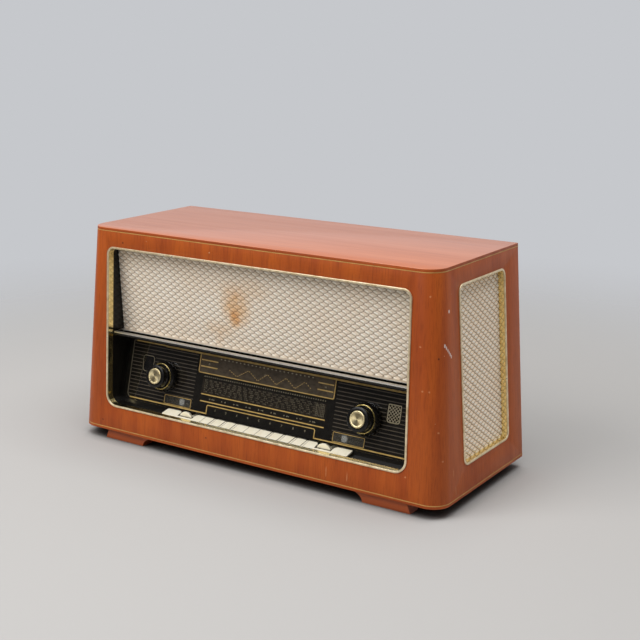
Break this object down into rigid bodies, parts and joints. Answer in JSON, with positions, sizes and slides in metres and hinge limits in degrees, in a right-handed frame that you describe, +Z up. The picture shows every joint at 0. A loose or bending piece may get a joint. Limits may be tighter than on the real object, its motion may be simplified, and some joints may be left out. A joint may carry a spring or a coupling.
{
  "type": "table radio receiver",
  "caption": "Wooden table radio with a leaning front, woven speaker cloth, black glass dial, two double knobs and a row of ivory piano keys with thumbwheels",
  "frame": {"origin": "centre of the overall box, on the surface that the feet stand on", "axes": "+Z up, +X to the right as seen by the listener, +Y to the back"},
  "size_m": [0.64, 0.254, 0.331],
  "materials": {
    "front_veneer": "clear lacquer, semi-gloss, vertical grain",
    "top_veneer": "clear lacquer, glossy",
    "base_wood": "lacquered",
    "foot_wood": "stained and lacquered",
    "gilt_trim": "polished, champagne gold anodised",
    "knob_brass": "turned",
    "front_cloth": "coarse woven speaker cloth",
    "side_cloth": "coarse woven speaker cloth",
    "plywood": "bare",
    "speaker_metal": "satin grey, paper cone",
    "black_moulding": "glossy",
    "knob_plastic": "glossy",
    "bright_rail": "polished, black groove",
    "dial_glass": "black with gold and grey marks on its back",
    "dial_metal": "satin",
    "lamp_glass": "clear",
    "drive_cord": "braided",
    "pointer_red": "matt",
    "steel": "turned or pressed",
    "carbon_brown": "pressed board and metal",
    "capacitor_metal": "bare",
    "ferrite": "matt",
    "tube_glass": "clear",
    "black_matt": "matt",
    "ivory": "moulded, semi-gloss",
    "indicator_white": "matt",
    "chassis_metal": "plated",
    "transformer_iron": "varnished laminations",
    "can_metal": "drawn",
    "fibreboard": "pressed hardboard",
    "screw_brass": "turned",
    "socket_plastic": "laminated"
  },
  "bodies": {
    "cabinet": {"cabinet_shell": "front_veneer", "cabinet_top": "top_veneer", "cabinet_base": "base_wood", "feet": "foot_wood", "front_trim": "gilt_trim", "side_trims": "gilt_trim", "side_cloths": "side_cloth", "side_boards": "plywood", "side_speakers": "speaker_metal", "speaker_cloth": "front_cloth", "baffle_board": "plywood", "front_speakers": "speaker_metal", "escutcheon": "black_moulding", "dial_rail": "bright_rail", "dial_glass": "dial_glass", "dial_backplate": "dial_metal", "dial_lamps": "lamp_glass", "drive_cords": "drive_cord", "volume_control": "carbon_brown", "tuning_capacitor": "capacitor_metal", "magic_eye": "tube_glass", "eye_shade": "black_matt", "key_bezel": "ivory", "key_frame": "steel", "chassis": "chassis_metal", "valves": "tube_glass", "transformers": "transformer_iron", "screening_cans": "can_metal", "back_cover": "fibreboard", "back_screws": "screw_brass", "rear_sockets": "socket_plastic"},
    "volume": {"volume_knob": "knob_plastic", "volume_cap": "knob_brass", "volume_shaft": "steel"},
    "aerial_turner": {"aerial_knob": "knob_plastic", "aerial_rim": "knob_brass", "aerial_shaft": "steel"},
    "ferrite": {"ferrite_aerial": "ferrite"},
    "am_tuning": {"am_knob": "knob_plastic", "am_cap": "knob_brass", "am_shaft": "steel"},
    "am_marker": {"am_pointer": "pointer_red"},
    "capacitor_spindle": {"capacitor_rotor": "capacitor_metal"},
    "fm_tuning": {"fm_knob": "knob_plastic", "fm_rim": "knob_brass", "fm_shaft": "steel"},
    "fm_marker": {"fm_pointer": "pointer_red"},
    "bass": {"bass_wheel": "ivory"},
    "bass_flag": {"bass_indicator": "indicator_white"},
    "treble": {"treble_wheel": "ivory"},
    "treble_flag": {"treble_indicator": "indicator_white"},
    "piano_key_1": {"key_1": "ivory"},
    "piano_key_2": {"key_2": "ivory"},
    "piano_key_3": {"key_3": "ivory"},
    "piano_key_4": {"key_4": "ivory"},
    "piano_key_5": {"key_5": "ivory"},
    "piano_key_6": {"key_6": "ivory"},
    "piano_key_7": {"key_7": "ivory"},
    "piano_key_8": {"key_8": "ivory"},
    "piano_key_9": {"key_9": "ivory"}
  },
  "joints": [
    {"name": "volume_turn", "type": "hinge", "parent": "cabinet", "child": "volume", "pos_m": [-0.18, -0.08237, 0.10459], "axis": [0, -0.9686, 0.2487], "range_deg": [-300, 0]},
    {"name": "aerial_turn", "type": "hinge", "parent": "cabinet", "child": "aerial_turner", "pos_m": [-0.18, -0.08237, 0.10459], "axis": [0, -0.9686, 0.2487], "range_deg": [-90, 90]},
    {"name": "ferrite_turn", "type": "hinge", "parent": "cabinet", "child": "ferrite", "pos_m": [0, 0.023, 0.22], "axis": [0, 0, 1], "range_deg": [-90, 90]},
    {"name": "am_tune", "type": "hinge", "parent": "cabinet", "child": "am_tuning", "pos_m": [0.18, -0.08237, 0.10459], "axis": [0, -0.9686, 0.2487], "range_deg": [-950, 950]},
    {"name": "am_marker_slide", "type": "slide", "parent": "cabinet", "child": "am_marker", "axis": [1, 0, 0], "range_m": [-0.1, 0.1]},
    {"name": "capacitor_turn", "type": "hinge", "parent": "cabinet", "child": "capacitor_spindle", "pos_m": [0.06, -0.127, 0.116], "axis": [0, 1, 0], "range_deg": [-90, 90]},
    {"name": "fm_tune", "type": "hinge", "parent": "cabinet", "child": "fm_tuning", "pos_m": [0.18, -0.08237, 0.10459], "axis": [0, -0.9686, 0.2487], "range_deg": [-1140, 1140]},
    {"name": "fm_marker_slide", "type": "slide", "parent": "cabinet", "child": "fm_marker", "axis": [1, 0, 0], "range_m": [-0.1, 0.1]},
    {"name": "bass_turn", "type": "hinge", "parent": "cabinet", "child": "bass", "pos_m": [-0.12375, -0.127, 0.0513], "axis": [0, 1, 0], "range_deg": [-220, 50]},
    {"name": "bass_flag_slide", "type": "slide", "parent": "cabinet", "child": "bass_flag", "axis": [-1, 0, 0], "range_m": [-0.0045, 0.0195]},
    {"name": "treble_turn", "type": "hinge", "parent": "cabinet", "child": "treble", "pos_m": [0.12375, -0.127, 0.0513], "axis": [0, 1, 0], "range_deg": [-50, 220]},
    {"name": "treble_flag_slide", "type": "slide", "parent": "cabinet", "child": "treble_flag", "axis": [1, 0, 0], "range_m": [-0.0045, 0.0195]},
    {"name": "key_1_press", "type": "hinge", "parent": "cabinet", "child": "piano_key_1", "pos_m": [0, -0.03195, 0.046], "axis": [1, 0, 0], "range_deg": [0, 3.5], "stiffness_Nm_per_rad": 2, "springref_deg": -1.72},
    {"name": "key_2_press", "type": "hinge", "parent": "cabinet", "child": "piano_key_2", "pos_m": [0, -0.03195, 0.046], "axis": [1, 0, 0], "range_deg": [0, 3.5], "stiffness_Nm_per_rad": 2, "springref_deg": -1.72},
    {"name": "key_3_press", "type": "hinge", "parent": "cabinet", "child": "piano_key_3", "pos_m": [0, -0.03195, 0.046], "axis": [1, 0, 0], "range_deg": [0, 3.5], "stiffness_Nm_per_rad": 2, "springref_deg": -1.72},
    {"name": "key_4_press", "type": "hinge", "parent": "cabinet", "child": "piano_key_4", "pos_m": [0, -0.03195, 0.046], "axis": [1, 0, 0], "range_deg": [0, 3.5], "stiffness_Nm_per_rad": 2, "springref_deg": -1.72},
    {"name": "key_5_press", "type": "hinge", "parent": "cabinet", "child": "piano_key_5", "pos_m": [0, -0.03195, 0.046], "axis": [1, 0, 0], "range_deg": [0, 3.5], "stiffness_Nm_per_rad": 2, "springref_deg": -1.72},
    {"name": "key_6_press", "type": "hinge", "parent": "cabinet", "child": "piano_key_6", "pos_m": [0, -0.03195, 0.046], "axis": [1, 0, 0], "range_deg": [0, 3.5], "stiffness_Nm_per_rad": 2, "springref_deg": -1.72},
    {"name": "key_7_press", "type": "hinge", "parent": "cabinet", "child": "piano_key_7", "pos_m": [0, -0.03195, 0.046], "axis": [1, 0, 0], "range_deg": [0, 3.5], "stiffness_Nm_per_rad": 2, "springref_deg": -1.72},
    {"name": "key_8_press", "type": "hinge", "parent": "cabinet", "child": "piano_key_8", "pos_m": [0, -0.03195, 0.046], "axis": [1, 0, 0], "range_deg": [0, 3.5], "stiffness_Nm_per_rad": 2, "springref_deg": -1.72},
    {"name": "key_9_press", "type": "hinge", "parent": "cabinet", "child": "piano_key_9", "pos_m": [0, -0.03195, 0.046], "axis": [1, 0, 0], "range_deg": [0, 3.5], "stiffness_Nm_per_rad": 2, "springref_deg": -1.72}
  ],
  "couplings": [
    {"joint": "ferrite_turn", "follows": "aerial_turn", "ratio": 1},
    {"joint": "am_marker_slide", "follows": "am_tune", "m_per_rad": -0.006},
    {"joint": "capacitor_turn", "follows": "am_tune", "ratio": 0.094},
    {"joint": "fm_marker_slide", "follows": "fm_tune", "m_per_rad": -0.005},
    {"joint": "bass_flag_slide", "follows": "bass_turn", "m_per_rad": -0.005},
    {"joint": "treble_flag_slide", "follows": "treble_turn", "m_per_rad": 0.005}
  ]
}
